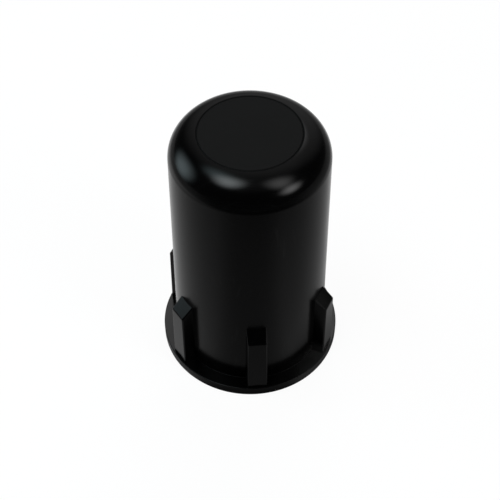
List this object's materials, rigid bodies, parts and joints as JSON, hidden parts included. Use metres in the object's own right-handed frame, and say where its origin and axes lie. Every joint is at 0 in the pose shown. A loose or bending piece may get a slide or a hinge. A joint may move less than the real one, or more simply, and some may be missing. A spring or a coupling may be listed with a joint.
{
  "type": "threaded protection cap",
  "caption": "Tall moulded plastic cap with a rounded crown, an end flange and grip ribs; its threaded inside screws over the end of a stud or anchor bolt.",
  "frame": {"origin": "centre of the flange's underside, on the cap's axis", "axes": "+Z along the cap's axis from the open end to the crown; one grip rib points to -Y"},
  "size_m": [0.05, 0.05, 0.0772],
  "materials": {
    "black_plastic": "black moulded polyethylene, satin on the wall and the pad, glossier on the rounded shoulder"
  },
  "bodies": {
    "root": {"cap": "black_plastic"}
  },
  "joints": []
}
